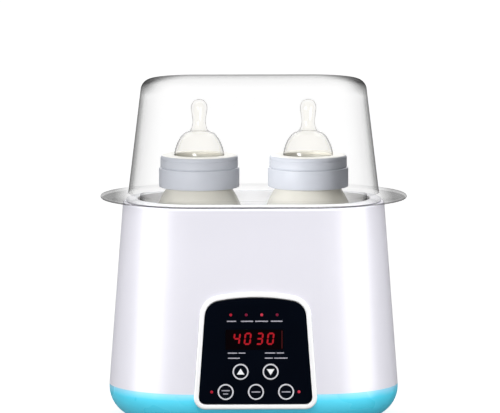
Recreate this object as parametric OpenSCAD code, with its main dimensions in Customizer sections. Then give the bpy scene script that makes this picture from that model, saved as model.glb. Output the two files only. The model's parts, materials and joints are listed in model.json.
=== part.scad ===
// Double bottle warmer. A white shell on a coloured base holds a water tank in which two feeding
// bottles stand on a rack, under a clear lid that lifts off. A tilted panel on the front carries a
// display, six indicator lamps and five keys. A steam heater sits under the tank's floor.
// Millimetres, Z up, front towards -Y, origin on the table under the middle of the body.

/* [Body] */
// Half length of the straight run between the plan's two round ends
straight = 46; // [45:0.5:48]
// Radius of the round ends where the base meets the shell
base_r = 68.2; // [67.5:0.1:70]
// Radius of the round ends at the top of the shell
top_r = 57.3; // [56.8:0.1:59]
// Height of the base's flat underside above the table
base_z = 3; // [2.5:0.1:3.5]
// Height of the line where the base meets the shell
split_z = 29.5; // [28:0.5:30]
// Height of the shell's top face
deck_z = 174.2; // [173:0.1:175]
// Radius of the round edge under the base
base_round = 24; // [18:1:24]
// Wall thickness of the shell and of the base
wall = 2.5; // [2:0.1:2.8]

/* [Lid] */
// Radius of the brim's round ends
brim_r = 75; // [73:0.5:78]
// Radius of the dome's round ends at its foot
dome_foot_r = 53; // [52:0.1:54]
// Radius of the dome's round ends at its shoulder
dome_top_r = 43.2; // [42.5:0.1:45]
// Height of the top of the dome above the table
total_h = 271; // [270.5:0.5:285]
// Thickness of the clear plastic
lid_t = 2.4; // [2:0.1:2.6]
// Radius of the dome's round top edge, outside
dome_round = 9; // [7:0.5:11]

/* [Tank] */
// Radius of the tank's round ends at its mouth, inside
tank_mouth_r = 46; // [45.8:0.1:46.5]
// Radius of the tank's round ends at its floor, inside
tank_floor_r = 43; // [42.5:0.1:43.5]
// Height of the underside of the tank's floor
tank_z = 62; // [61:0.5:62]
// Wall thickness of the tank
tank_t = 1.5; // [1.2:0.1:1.8]

/* [Panel] */
// Height of the middle of the panel above the table
panel_z = 63.65; // [63:0.05:64]
// Height of the black front plate, along its slope
plate_h = 83.2; // [83:0.1:85]
// Width of the front plate at its lower edge
plate_low_w = 89.8; // [88:0.1:90.5]
// Width of the front plate at its upper edge
plate_high_w = 78; // [76:0.1:80]
// Width of the white frame round the front plate
frame_w = 3.8; // [3:0.1:4.2]
// Radius of a key's round face
key_r = 6.5; // [6:0.1:6.6]
// How far a key is pressed in
key_travel = 0.6; // [0.4:0.1:0.6]

/* [Bottles] */
// Distance of each bottle's axis from the middle of the warmer
bottle_x = 43; // [42.5:0.5:44]
// Largest radius of a bottle
bottle_r = 37; // [36:0.1:37.2]
// Radius of the screw ring's lower band
ring_r = 31.75; // [31:0.05:32.5]
// Height of the top of the milk in a bottle
milk_top = 150; // [100:5:165]

/* [Smoothness] */
// Facets on a full circle
facets = 96; // [48:12:144]

/* [Hidden] */
$fn = facets;
tilt = atan((base_r - top_r) / (deck_z - split_z));

// Shell, gasket and tank rim are stacked under the lid
deck_hole_r = 49.5;
deck_t = 2.2;
gasket_t = 0.8;
rim_r = 54.5;
rim_t = 1.5;
rim_z = deck_z + gasket_t + rim_t;
lid_z = rim_z + 0.3;
skirt_r = tank_mouth_r - 0.7;
skirt_t = 1.6;
skirt_h = 4.8;
foot_fillet = 2.5;

// Fixings under the body
foot_x = 66;
foot_y = 29;
foot_r = 8;
foot_h = 4.5;
screw_x = 52;
screw_y = 17;
screw_seat_z = 8;
sleeve_top_z = 26;

// Heater stack, measured down from the tank's floor
seal_t = 1.5;
plate_t = 2;
heater_z = tank_z - seal_t - plate_t;
heater_r = 33;
heater_hole_r = 27;
element_r = 20;
element_tube_r = 3.3;
element_z = heater_z - element_tube_r - 0.05;
clamp_t = 1.3;
lug_r = 38;
lug_angles = [30, 150, 270];
sensor_x = 40;

// Power board
board_x = 40;
board_y = 28;
board_z = 12;
board_t = 1.6;
board_hole = [35, 23];
terminal_at = [element_r / 2, element_r * sqrt(3) / 2];

// Panel stack, measured along the panel's outward normal from the shell's surface
frame_front = 1.6;
frame_back = -3;
plate_front = 1.2;
plate_back = -1;
ledge_w = 1.8;
panel_gap = 0.15;
control_board_z = -9.6;
post_at = [for (sx = [-1, 1], at = [[39.7, 32.2], [43, -33]]) [sx * at.x, at.y]];
low_corner_r = 5.5;
high_corner_r = 13;
arch_r = 160;
window_at = [-0.8, 8.9];
window_size = [45.5, 15.9];
lamp_at = concat([for (i = [0:3]) [12.1 * i - 19.3, 28.3]], [[-34.3, -32.1], [34, -32.1]]);
lamp_r = 1.1;
key_up_at = [-11.7, -16.3];
key_down_at = [11.8, -16.3];
key_warm_at = [-23.4, -32.1];
key_steam_at = [0.3, -32.1];
key_timer_at = [23.9, -32.1];
key_at = [key_up_at, key_down_at, key_warm_at, key_steam_at, key_timer_at];
key_gap = 0.2;
key_flange_r = key_r + 0.6;
key_foot = -3;

// Rack and bottles
rack_z = 68.5;
rack_floor_t = 1.5;
rack_top = rack_z + rack_floor_t;
rack_r = 41;
hoop_r = 38.4;
hoop_t = 1.6;
hoop_z = 104;
hoop_h = 5;
bottle_z = rack_top + 0.3;
bottle_wall = 1.7;
neck_r = 25.7;
thread_r = 24.4;
neck_top = 206.4;
ring_z = 185.6;
ring_step_z = 201;
ring_top = 211;

// Cord entry in the rear wall
gland_z = 40;
gland_bore_r = 3.3;
gland_r = 5.5;

// Radius of the shell's outer face at height z
function wall_r(z) = base_r - (z - split_z) * tan(tilt);

// Outer radius of the tank's wall at height z
function tank_r(z) = tank_floor_r + tank_t
    + (tank_mouth_r - tank_floor_r) * (z - tank_z) / (rim_z - tank_z);

// Points on an arc about [x, y], from angle a to angle b
function arc(x, y, r, a, b, steps = 12) = [
    for (i = [0:steps])
        [x + r * cos(a + (b - a) * i / steps), y + r * sin(a + (b - a) * i / steps)]
];

function reversed(points) = [for (i = [len(points) - 1:-1:0]) points[i]];

// One point of a smooth curve that passes through p1 and p2, between its neighbours p0 and p3
function blend_point(p0, p1, p2, p3, t) = (
    2 * p1 + (p2 - p0) * t
    + (2 * p0 - 5 * p1 + 4 * p2 - p3) * t * t
    + (3 * p1 - p0 - 3 * p2 + p3) * t * t * t
) / 2;

// A smooth curve through all the given points
function smooth(points, steps = 5) = concat(
    [
        for (i = [0:len(points) - 2], k = [0:steps - 1])
            blend_point(
                points[max(i - 1, 0)],
                points[i],
                points[i + 1],
                points[min(i + 2, len(points) - 1)],
                k / steps
            )
    ],
    [points[len(points) - 1]]
);

// Outline of the front plate, grown by d: leaning sides, round corners and an arched top
function plate_outline(d) = let (
    lean = atan((plate_low_w - plate_high_w) / 2 / plate_h),
    low_x = plate_low_w / 2 - low_corner_r - low_corner_r * tan(lean),
    low_y = low_corner_r - plate_h / 2,
    high_x = plate_high_w / 2 - high_corner_r + high_corner_r * tan(lean),
    arch_angle = asin(high_x / (arch_r - high_corner_r)),
    arch_y = plate_h / 2 - arch_r,
    high_y = arch_y + (arch_r - high_corner_r) * cos(arch_angle)
) concat(
    arc(low_x, low_y, low_corner_r + d, -90, lean, 8),
    arc(high_x, high_y, high_corner_r + d, lean, 90 - arch_angle, 8),
    arc(0, arch_y, arch_r + d, 90 - arch_angle, 90 + arch_angle, 8),
    arc(-high_x, high_y, high_corner_r + d, 90 + arch_angle, 180 - lean, 8),
    arc(-low_x, low_y, low_corner_r + d, 180 - lean, 270, 8)
);

// Sweeps a profile round the body's plan: x is the distance from the plan's spine, y the height
module swept() {
    for (turn = [0, 180])
        rotate([0, 0, turn])
            translate([straight, 0, 0])
                union() {
                    rotate([0, 0, -90])
                        rotate_extrude(angle = 180)
                            children();
                    rotate([90, 0, -90])
                        linear_extrude(2 * straight)
                            children();
                }
}

// Puts its children on the panel: x to the right, y up the slope, z out of the front
module on_panel() {
    translate([0, -wall_r(panel_z), panel_z])
        rotate([90 - tilt, 0, 0])
            children();
}

// A slab on the panel with the plate's outline grown by d, from depth low to depth high
module panel_slab(d, low, high) {
    translate([0, 0, low])
        linear_extrude(high - low)
            polygon(plate_outline(d));
}

// A rod from height low to height high
module rod(at, r, low, high) {
    translate([at.x, at.y, low])
        cylinder(h = high - low, r = r);
}

// Copies its children to all four combinations of left, right, front and back
module at_corners(x, y) {
    for (sx = [-1, 1], sy = [-1, 1])
        translate([sx * x, sy * y, 0])
            children();
}

// A box whose centre is at [x, y] and whose height runs from low to high
module block(at, size, low, high) {
    translate([at.x - size.x / 2, at.y - size.y / 2, low])
        cube([size.x, size.y, high - low]);
}

module base_profile() {
    inner_round = base_round - wall;
    polygon(concat(
        [[0, base_z]],
        arc(base_r - base_round, base_z + base_round, base_round, -90, 0, 16),
        [[base_r, split_z], [base_r - wall, split_z]],
        reversed(arc(base_r - base_round, base_z + base_round, inner_round, -90, 0, 16)),
        [[0, base_z + wall]]
    ));
}

// Lower casing: a dish with screw sleeves, board posts and pockets for the feet
module base_shell() {
    floor_z = base_z + wall;
    color("deepskyblue")
        difference() {
            union() {
                swept()
                    base_profile();
                at_corners(screw_x, screw_y)
                    rod([0, 0], 5.5, base_z + 1, sleeve_top_z);
                at_corners(board_hole.x, board_hole.y)
                    rod([0, 0], 3, base_z + 1, board_z);
            }
            at_corners(screw_x, screw_y) {
                rod([0, 0], 1.9, base_z - 1, sleeve_top_z + 1);
                rod([0, 0], 4, base_z - 1, screw_seat_z);
            }
            at_corners(board_hole.x, board_hole.y)
                rod([0, 0], 1.3, floor_z + 0.5, board_z + 1);
            at_corners(foot_x, foot_y)
                rod([0, 0], foot_r + 0.1, base_z - 1, foot_h);
            on_panel()
                panel_slab(frame_w + panel_gap, -8, 8);
        }
}

module body_profile() {
    edge_round = 1.6;
    under = deck_z - deck_t;
    polygon(concat(
        [[base_r, split_z]],
        arc(wall_r(deck_z) - edge_round, deck_z - edge_round, edge_round, 0, 90, 6),
        [
            [deck_hole_r, deck_z],
            [deck_hole_r, under],
            [wall_r(under) - wall, under],
            [base_r - wall, split_z]
        ]
    ));
}

// Outer casing with the openings for the panel and for the cord's gland
module body_shell() {
    color("white")
        difference() {
            swept()
                body_profile();
            on_panel()
                panel_slab(frame_w + panel_gap, -8, 8);
            translate([0, wall_r(gland_z) - 8, gland_z])
                rotate([-90, 0, 0])
                    cylinder(h = 12, r = gland_r + 0.05);
        }
}

module tank_profile() {
    corner = 6;
    low_r = tank_r(tank_z) - corner;
    polygon(concat(
        [[0, tank_z]],
        arc(low_r, tank_z + corner, corner, -90, 0, 8),
        [
            [tank_r(rim_z - rim_t), rim_z - rim_t],
            [rim_r, rim_z - rim_t],
            [rim_r, rim_z],
            [tank_mouth_r, rim_z]
        ],
        reversed(arc(low_r, tank_z + corner, corner - tank_t, -90, 0, 8)),
        [[0, tank_z + tank_t]]
    ));
}

// Water tank with the heater's seat in its floor and posts for the base screws
module inner_tank() {
    color("gainsboro")
        difference() {
            union() {
                swept()
                    tank_profile();
                at_corners(screw_x, screw_y)
                    rod([0, 0], 4, sleeve_top_z, tank_z + 0.5);
                for (angle = lug_angles)
                    rotate([0, 0, angle])
                        rod([lug_r, 0], 3.4, heater_z, tank_z + 0.5);
            }
            at_corners(screw_x, screw_y)
                rod([0, 0], 1.75, sleeve_top_z - 1, 46);
            for (angle = lug_angles)
                rotate([0, 0, angle])
                    rod([lug_r, 0], 1.3, heater_z - 1, tank_z);
            rod([0, 0], heater_hole_r, tank_z - 1, tank_z + tank_t + 1);
            rod([sensor_x, 0], 2.6, tank_z - 1, tank_z + tank_t + 1);
        }
}

// Seal between the shell's top face and the tank's rim
module tank_gasket() {
    color("lightgray")
        swept()
            translate([50.5, deck_z])
                square([3, gasket_t]);
}

// Silicone ring between the tank's floor and the heater plate
module heater_seal() {
    color("orangered")
        difference() {
            rod([0, 0], heater_r, tank_z - seal_t, tank_z);
            rod([0, 0], heater_hole_r, tank_z - seal_t - 1, tank_z + 1);
        }
}

// Steel plate that boils the water, with its raised middle in the tank's floor
module heater_plate() {
    color("silver")
        union() {
            rod([0, 0], heater_r, heater_z, heater_z + plate_t);
            rod([0, 0], heater_hole_r - 0.5, heater_z, tank_z + tank_t - 0.5);
        }
}

// Horseshoe heating tube under the plate, with its two terminals
module heating_element() {
    color("dimgray")
        union() {
            translate([0, 0, element_z])
                rotate([0, 0, 120])
                    rotate_extrude(angle = 300)
                        translate([element_r, 0])
                            circle(element_tube_r, $fn = 32);
            for (side = [-1, 1])
                rod([side * terminal_at.x, terminal_at.y], 1.6, 46, element_z);
        }
}

// Ring that presses the heater plate up against the tank's floor
module heater_clamp() {
    low = heater_z - clamp_t;
    color("lightsteelblue")
        difference() {
            union() {
                rod([0, 0], 34, low, heater_z);
                for (angle = lug_angles)
                    rotate([0, 0, angle]) {
                        rod([lug_r, 0], 4, low, heater_z);
                        block([lug_r - 3, 0], [6, 8], low, heater_z);
                    }
            }
            rod([0, 0], 25, low - 1, heater_z + 1);
            for (angle = lug_angles)
                rotate([0, 0, angle])
                    rod([lug_r, 0], 1.6, low - 1, heater_z + 1);
        }
}

// A pan-head screw pointing up: its head is under seat_z and its shank above it
module screw(at, shank_r, head_r, head_h, seat_z, tip_z) {
    rod(at, head_r, seat_z - head_h, seat_z);
    rod(at, shank_r, seat_z - 0.5, tip_z);
}

module heater_screws() {
    color("silver")
        for (angle = lug_angles)
            rotate([0, 0, angle])
                screw([lug_r, 0], 1.25, 2.6, 1.8, heater_z - clamp_t, tank_z - 0.6);
}

// Snap-action thermostat under the middle of the plate
module thermostat() {
    color("black")
        union() {
            rod([0, 0], 8, 50, heater_z - 0.1);
            block([0, 0], [24, 7], 48.6, 50);
        }
}

// One-shot fuse that lies across the clamp's rear edge
module thermal_fuse() {
    color("tan")
        translate([-8, 29.5, heater_z - clamp_t - 2.1])
            rotate([0, 90, 0])
                union() {
                    cylinder(h = 16, r = 2);
                    translate([0, 0, -6])
                        cylinder(h = 28, r = 0.5);
                }
}

// Water temperature probe in the tank's floor
module temperature_sensor() {
    color("silver")
        union() {
            rod([sensor_x, 0], 2.5, 55, tank_z + tank_t + 2);
            rod([sensor_x, 0], 4.5, tank_z - 2.5, tank_z);
        }
}

module heater_leads() {
    color("firebrick")
        for (side = [-1, 1])
            rod([side * terminal_at.x, terminal_at.y], 1.3, 24.4, 46);
}

module power_board() {
    color("darkgreen")
        difference() {
            block([0, 0], 2 * [board_x, board_y], board_z, board_z + board_t);
            at_corners(board_hole.x, board_hole.y)
                rod([0, 0], 1.5, board_z - 1, board_z + board_t + 1);
        }
}

// Transformer, relay, capacitors and connector on the power board
module power_board_parts() {
    top = board_z + board_t;
    color("goldenrod")
        union() {
            block([-22, -8], [24, 20], top, top + 17);
            block([24, 6], [15, 19], top, top + 15);
            rod([6, -12], 5, top, top + 18);
            rod([20, -15], 4, top, top + 12);
            block([-2, -24.5], [18, 5], top, top + 6);
            block([-24, 13], [14, 6], top, top + 9);
        }
}

// Screw terminals where the heater's leads and the mains lead end
module terminal_block() {
    top = board_z + board_t;
    color("forestgreen")
        union() {
            block([0, terminal_at.y], [32, 10], top, top + 9.5);
            for (side = [-1, 1])
                rod([side * terminal_at.x, terminal_at.y], 2.2, top + 9, 24.4);
        }
}

// Screws that hold the power board, heads up
module board_screws() {
    color("silver")
        at_corners(board_hole.x, board_hole.y) {
            rod([0, 0], 1.25, 6.5, board_z + board_t + 0.5);
            rod([0, 0], 2.6, board_z + board_t, board_z + board_t + 1.8);
        }
}

// White frame round the front plate, with a ledge behind the plate and four board posts
module control_bezel() {
    color("white")
        on_panel()
            difference() {
                union() {
                    panel_slab(frame_w, frame_back, frame_front);
                    for (at = post_at)
                        rod(at, 2.5, control_board_z + 1.6, frame_back + 1);
                }
                panel_slab(0, plate_back - 0.1, frame_front + 1);
                panel_slab(-ledge_w, frame_back - 1, frame_front + 1);
                for (at = post_at)
                    rod(at, 1.1, control_board_z, frame_back - 0.5);
            }
}

// Black front plate with openings for the display, the lamps and the keys
module control_panel() {
    color("black")
        on_panel()
            difference() {
                panel_slab(-0.1, plate_back, plate_front);
                block(window_at, window_size, plate_back - 1, plate_front + 1);
                for (at = lamp_at)
                    rod(at, lamp_r + 0.15, plate_back - 1, plate_front + 1);
                for (at = key_at)
                    rod(at, key_r + key_gap, plate_back - 1, plate_front + 1);
            }
}

// Smoked window in front of the display
module display_window() {
    color("maroon")
        on_panel()
            block(window_at, window_size - [0.2, 0.2], plate_back, plate_front - 0.2);
}

// Four-digit display behind the window
module display_module() {
    color("darkslategray")
        on_panel()
            block(window_at, window_size - [1.5, 1.5], control_board_z + 1.6, plate_back - 0.2);
}

module indicator_leds() {
    color("red")
        on_panel()
            for (at = lamp_at) {
                rod(at, lamp_r, control_board_z + 1.6, plate_front - 0.1);
                translate([at.x, at.y, plate_front - 0.1])
                    cylinder(h = 0.4, r1 = lamp_r, r2 = 0.6);
            }
}

module control_board() {
    color("darkgreen")
        on_panel()
            difference() {
                block([0, 0], [91, 73], control_board_z, control_board_z + 1.6);
                for (at = post_at)
                    rod(at, 1.4, control_board_z - 1, control_board_z + 3);
            }
}

// One push switch on the board behind each key
module key_switches() {
    color("dimgray")
        on_panel()
            for (at = key_at) {
                block(at, [6, 6], control_board_z + 1.6, key_foot - 1.7);
                rod(at, 1.7, key_foot - 2, key_foot - key_travel - 0.3);
            }
}

module panel_screws() {
    color("silver")
        on_panel()
            for (at = post_at) {
                rod(at, 1.05, control_board_z - 0.5, frame_back - 1);
                rod(at, 2.3, control_board_z - 1.6, control_board_z);
            }
}

// Flat cable from the control board down to the power board, as [y, z] bends
module panel_harness() {
    route = [[-58, 32], [-44, 32], [-32, 26], [-25, 19.6]];
    thickness = [0, 0.9];
    color("gray")
        translate([-9, 0, 0])
            rotate([90, 0, 90])
                linear_extrude(14)
                    polygon(concat(route, reversed([for (p = route) p + thickness])));
}

// A key: a round face, a flange that keeps it behind the plate, and a stem over its switch
module key(at) {
    color("black")
        on_panel()
            union() {
                rod(at, key_r, -1.5, plate_front + 0.3);
                rod(at, key_flange_r, -2.2, -1.2);
                rod(at, 1.5, key_foot, -2);
            }
}

module key_up() {
    key(key_up_at);
}

module key_down() {
    key(key_down_at);
}

module key_warm() {
    key(key_warm_at);
}

module key_steam() {
    key(key_steam_at);
}

module key_timer() {
    key(key_timer_at);
}

// Grommet in the rear wall that the mains lead passes through
module cable_gland() {
    outside = wall_r(gland_z);
    color("white")
        translate([0, 0, gland_z])
            rotate([-90, 0, 0])
                difference() {
                    union() {
                        rod([0, 0], gland_r, outside - 5.5, outside + 1);
                        rod([0, 0], gland_r + 2, outside + 0.7, outside + 2.7);
                        rod([0, 0], gland_r + 2, outside - 5.5, outside - 3.5);
                    }
                    rod([0, 0], gland_bore_r, outside - 7, outside + 4);
                }
}

module rubber_feet() {
    color("dimgray")
        at_corners(foot_x, foot_y) {
            rod([0, 0], foot_r, 0.8, foot_h);
            cylinder(h = 0.8, r1 = foot_r - 0.8, r2 = foot_r);
        }
}

// Long screws that clamp the shell between the base and the tank
module base_screws() {
    color("silver")
        at_corners(screw_x, screw_y)
            screw([0, 0], 1.7, 3.5, 2.4, screw_seat_z, 44);
}

module lid_profile() {
    brim_top = lid_z + lid_t;
    edge = lid_t / 2;
    shoulder_z = total_h - dome_round;
    shoulder_r = dome_top_r - dome_round;
    inner_foot_r = dome_foot_r - lid_t;
    polygon(concat(
        [[skirt_r - skirt_t, lid_z - skirt_h], [skirt_r, lid_z - skirt_h], [skirt_r, lid_z]],
        arc(brim_r - edge, lid_z + edge, edge, -90, 90, 8),
        arc(dome_foot_r + foot_fillet, brim_top + foot_fillet, foot_fillet, 270, 180, 6),
        arc(shoulder_r, shoulder_z, dome_round, 0, 90, 12),
        [[0, total_h], [0, total_h - lid_t]],
        arc(shoulder_r, shoulder_z, dome_round - lid_t, 90, 0, 12),
        [[inner_foot_r, brim_top], [skirt_r - skirt_t, brim_top]]
    ));
}

// Clear dome with a broad brim to lift it by and a skirt that locates it in the tank
module lid() {
    color("aliceblue", 0.4)
        swept()
            lid_profile();
}

module rack_profile() {
    inner_r = rack_r - 1.5;
    rim_top = rack_z + 5;
    polygon([
        [0, rack_z],
        [rack_r, rack_z],
        [rack_r, rim_top],
        [inner_r, rim_top],
        [inner_r, rack_top],
        [0, rack_top]
    ]);
}

// Rack that holds both bottles off the tank's floor and lifts out by its middle grip
module bottle_rack() {
    color("whitesmoke")
        difference() {
            union() {
                swept()
                    rack_profile();
                at_corners(60, 25)
                    rod([0, 0], 3, tank_z + tank_t + 0.3, rack_z + 0.5);
                for (side = [-1, 1])
                    translate([side * bottle_x, 0, 0]) {
                        translate([0, 0, hoop_z])
                            difference() {
                                cylinder(h = hoop_h, r = hoop_r + hoop_t);
                                translate([0, 0, -1])
                                    cylinder(h = hoop_h + 2, r = hoop_r);
                            }
                        for (angle = [0, 120, 240])
                            rotate([0, 0, 90 - side * 90 + angle - 5])
                                rotate_extrude(angle = 10)
                                    translate([hoop_r + 0.2, rack_top - 0.5])
                                        square([hoop_t - 0.4, hoop_z - rack_top + 1.5]);
                    }
                block([0, 0], [9, 8], hoop_z, hoop_z + hoop_h);
                block([0, 0], [3, 20], rack_top - 0.5, 156);
                translate([0, 12, 157])
                    rotate([90, 0, 0])
                        cylinder(h = 24, r = 3.6);
            }
            for (side = [-1, 1], angle = [0:60:300])
                translate([side * bottle_x, 0, 0])
                    rotate([0, 0, angle])
                        rod([19, 0], 4, rack_z - 1, rack_top + 1);
            for (side = [-1, 1])
                rod([side * bottle_x, 0], 8, rack_z - 1, rack_top + 1);
        }
}

// Half section of a bottle: a round heel, nearly straight side, shoulder, collar and neck
module bottle_profile() {
    heel = 4;
    heel_r = bottle_r - 1 - heel;
    side_curve = smooth([
        [bottle_r - 1, bottle_z + heel],
        [bottle_r - 0.4, 110],
        [bottle_r, 146],
        [bottle_r - 0.6, 157],
        [bottle_r - 2.1, 165.5],
        [bottle_r - 4.6, 172],
        [bottle_r - 7.7, 178.5],
        [neck_r, 184.5]
    ]);
    polygon(concat(
        [[0, bottle_z]],
        arc(heel_r, bottle_z + heel, heel, -90, -10, 6),
        side_curve,
        [
            [neck_r, ring_z],
            [thread_r, ring_z],
            [thread_r, neck_top],
            [thread_r - bottle_wall, neck_top],
            [thread_r - bottle_wall, 186]
        ],
        reversed([for (p = side_curve) p - [bottle_wall, 0]]),
        arc(heel_r, bottle_z + heel, heel - bottle_wall, -10, -90, 6),
        [[0, bottle_z + bottle_wall]]
    ));
}

module bottle(side) {
    color("ivory", 0.5)
        translate([side * bottle_x, 0, 0])
            rotate_extrude()
                bottle_profile();
}

// The milk fills the bottle to its level, a hair clear of the wall
module milk(side) {
    gap = bottle_wall + 0.05;
    color("cornsilk")
        translate([side * bottle_x, 0, 0])
            rotate_extrude()
                polygon([
                    [0, bottle_z + gap],
                    [bottle_r - 5.5, bottle_z + gap],
                    [bottle_r - 1 - gap, bottle_z + 5],
                    [bottle_r - 0.45 - gap, min(110, milk_top - 1)],
                    [bottle_r - 0.2 - gap, milk_top],
                    [0, milk_top]
                ]);
}

// Ring that screws the teat to the bottle: a broad lower band and a narrower upper one
module screw_ring(side) {
    upper_r = ring_r - 1.5;
    color("gainsboro")
        translate([side * bottle_x, 0, 0])
            rotate_extrude()
                polygon(concat(
                    [[neck_r + 0.4, ring_z], [ring_r - 0.8, ring_z], [ring_r, ring_z + 0.8]],
                    arc(ring_r - 1, ring_step_z - 1, 1, 0, 90, 4),
                    [[upper_r, ring_step_z]],
                    arc(upper_r - 2, ring_top - 2, 2, 0, 90, 6),
                    [[19.9, ring_top], [19.9, 208.6], [neck_r + 0.4, 208.6]]
                ));
}

// Silicone teat: a flange under the ring, a broad dome and a narrow bulb
module teat(side) {
    outer = smooth([
        [19.4, 208.4], [19.3, 214], [16.6, 221.6], [12.4, 227.4], [7.2, 230.2],
        [5.2, 236.5], [5.9, 243.5], [6.4, 249], [4.3, 253.6], [0, 255]
    ]);
    inner = smooth([
        [17.6, 206.7], [17.5, 213.4], [14.9, 220.2], [10.8, 225.7], [5.4, 229.2],
        [3.4, 237], [4.3, 246], [3.4, 251], [0, 252.6]
    ]);
    color("whitesmoke", 0.7)
        translate([side * bottle_x, 0, 0])
            rotate_extrude()
                polygon(concat([[24.2, 206.7], [24.2, 208.4]], outer, reversed(inner)));
}

module bottle_left() {
    bottle(-1);
}

module milk_left() {
    milk(-1);
}

module screw_ring_left() {
    screw_ring(-1);
}

module teat_left() {
    teat(-1);
}

module bottle_right() {
    bottle(1);
}

module milk_right() {
    milk(1);
}

module screw_ring_right() {
    screw_ring(1);
}

module teat_right() {
    teat(1);
}

base_shell();
body_shell();
inner_tank();
tank_gasket();
heater_seal();
heater_plate();
heating_element();
heater_clamp();
heater_screws();
thermostat();
thermal_fuse();
temperature_sensor();
heater_leads();
power_board();
power_board_parts();
terminal_block();
board_screws();
control_bezel();
control_panel();
display_window();
display_module();
indicator_leds();
control_board();
key_switches();
panel_screws();
panel_harness();
key_up();
key_down();
key_warm();
key_steam();
key_timer();
cable_gland();
rubber_feet();
base_screws();
lid();
bottle_rack();
bottle_left();
milk_left();
screw_ring_left();
teat_left();
bottle_right();
milk_right();
screw_ring_right();
teat_right();
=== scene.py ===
"""Looks for the double bottle warmer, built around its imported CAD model. Metres, Z up, front at -Y."""

import json
import math

import bmesh
import bpy
from mathutils import Matrix, Vector


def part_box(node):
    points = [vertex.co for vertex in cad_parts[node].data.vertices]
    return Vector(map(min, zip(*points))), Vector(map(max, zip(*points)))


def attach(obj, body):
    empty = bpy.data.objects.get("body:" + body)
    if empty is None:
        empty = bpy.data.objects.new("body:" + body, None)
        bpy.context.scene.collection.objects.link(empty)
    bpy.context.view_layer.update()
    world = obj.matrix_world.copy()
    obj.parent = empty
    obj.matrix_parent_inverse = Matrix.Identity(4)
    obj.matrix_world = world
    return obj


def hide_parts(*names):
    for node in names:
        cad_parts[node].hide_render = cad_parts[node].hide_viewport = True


MM = 0.001

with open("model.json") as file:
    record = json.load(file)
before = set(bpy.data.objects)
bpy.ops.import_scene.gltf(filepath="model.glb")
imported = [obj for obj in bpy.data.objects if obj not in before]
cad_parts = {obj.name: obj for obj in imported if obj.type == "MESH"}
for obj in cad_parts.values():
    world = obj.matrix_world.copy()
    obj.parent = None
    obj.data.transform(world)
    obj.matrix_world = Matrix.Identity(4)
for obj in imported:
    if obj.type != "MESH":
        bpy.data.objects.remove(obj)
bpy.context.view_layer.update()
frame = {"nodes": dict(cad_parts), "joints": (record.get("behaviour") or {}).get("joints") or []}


# ---------------------------------------------------------------- places taken from the frame


def middle(node):
    """The middle of a CAD node's box."""
    lo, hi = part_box(node)
    return (Vector(lo) + Vector(hi)) / 2


def joint(name):
    return next(j for j in frame["joints"] if j["name"] == name)


PRESS = Vector(joint("key_up_press")["axis"]).normalized()
PANEL_RIGHT = Vector((1, 0, 0))
PANEL_OUT = -PRESS
PANEL_UP = PANEL_OUT.cross(PANEL_RIGHT)
PLATE_FRONT = 1.2 * MM
PLATE_BACK = -1.0 * MM
PANEL_ORIGIN = middle("control_panel") - PANEL_OUT * (PLATE_FRONT + PLATE_BACK) / 2
TO_PANEL = Matrix((PANEL_RIGHT, PANEL_UP, PANEL_OUT)).transposed().to_4x4()
TO_PANEL.translation = PANEL_ORIGIN

KEY_MIDDLE_DEPTH = -1.7 * MM
WARMER = "warmer"


def on_panel(point):
    """Where a point lies on the panel: x to the right, y up the slope, from its middle."""
    off = Vector(point) - PANEL_ORIGIN
    return Vector((off.x, PANEL_UP.z * off.z + PANEL_UP.y * off.y))


def key_place(node):
    """A key's axis on the panel, from the height of its box, whose middle lies at a known depth."""
    centre = middle(node)
    up = (centre.z - PANEL_ORIGIN.z - KEY_MIDDLE_DEPTH * PANEL_OUT.z) / PANEL_UP.z
    return Vector((centre.x, up))


# ---------------------------------------------------------------- mesh tools


def make_mesh(name, points, faces, material, smooth=True):
    mesh = bpy.data.meshes.new(name)
    mesh.from_pydata([tuple(p) for p in points], [], faces)
    mesh.update()
    tidy = bmesh.new()
    tidy.from_mesh(mesh)
    bmesh.ops.remove_doubles(tidy, verts=tidy.verts, dist=1e-7)
    bmesh.ops.recalc_face_normals(tidy, faces=tidy.faces)
    for face in tidy.faces:
        face.smooth = smooth
    tidy.to_mesh(mesh)
    tidy.free()
    piece = bpy.data.objects.new(name, mesh)
    bpy.context.scene.collection.objects.link(piece)
    mesh.materials.append(material)
    return piece


def crease_by_angle(piece, degrees=35):
    """Keeps edges sharper than the angle crisp in the shading."""
    bpy.context.view_layer.objects.active = piece
    piece.select_set(True)
    mesh = piece.data
    limit = math.radians(degrees)
    work = bmesh.new()
    work.from_mesh(mesh)
    for edge in work.edges:
        if len(edge.link_faces) == 2:
            edge.smooth = edge.calc_face_angle(0) < limit
    work.to_mesh(mesh)
    work.free()
    piece.select_set(False)


def arc(x, y, r, start, end, steps=8):
    """Points on an arc about (x, y), angles in degrees."""
    turns = [math.radians(start + (end - start) * i / steps) for i in range(steps + 1)]
    return [(x + r * math.cos(t), y + r * math.sin(t)) for t in turns]


def smooth_curve(points, steps=8):
    """A curve through all the points, as in the CAD model."""
    out = []
    last = len(points) - 1
    for i in range(last):
        p0, p1 = Vector(points[max(i - 1, 0)]), Vector(points[i])
        p2, p3 = Vector(points[i + 1]), Vector(points[min(i + 2, last)])
        for k in range(steps):
            t = k / steps
            p = (2 * p1 + (p2 - p0) * t + (2 * p0 - 5 * p1 + 4 * p2 - p3) * t**2
                 + (3 * p1 - p0 - 3 * p2 + p3) * t**3) / 2
            out.append((p.x, p.y))
    out.append(tuple(points[-1]))
    return out


def bridge(rings, closed_profile=True):
    """Faces between rings of equal length, each ring joined to the next one."""
    count = len(rings[0])
    faces = []
    spans = len(rings) if closed_profile else len(rings) - 1
    for i in range(spans):
        a, b = rings[i], rings[(i + 1) % len(rings)]
        for k in range(count):
            m = (k + 1) % count
            faces.append((a[k], a[m], b[m], b[k]))
    return faces


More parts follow.
